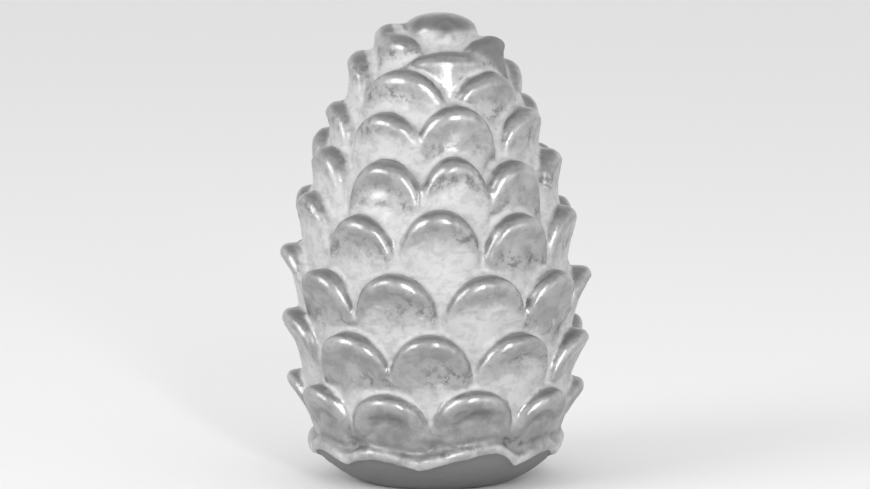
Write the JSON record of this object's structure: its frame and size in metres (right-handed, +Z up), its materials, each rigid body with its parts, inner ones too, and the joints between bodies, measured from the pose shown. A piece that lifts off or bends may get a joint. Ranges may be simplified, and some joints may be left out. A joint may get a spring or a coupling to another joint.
{
  "type": "pinecone finial",
  "caption": "Stout ornamental pinecone finial with rings of overlapping rounded scales, a small bud on top, a wavy rolled skirt and a plain bowl-shaped foot.",
  "frame": {"origin": "middle of the flat foot, on the surface that the finial stands on", "axes": "+Z up the cone's axis, -Y towards the front that the picture shows, +X to the right of that front"},
  "size_m": [0.1528, 0.153, 0.23],
  "materials": {
    "leafed_casting": "silver leaf rubbed back on the scales, with a pale chalky wash left in the recesses"
  },
  "bodies": {
    "root": {"pinecone": "leafed_casting"}
  },
  "joints": []
}
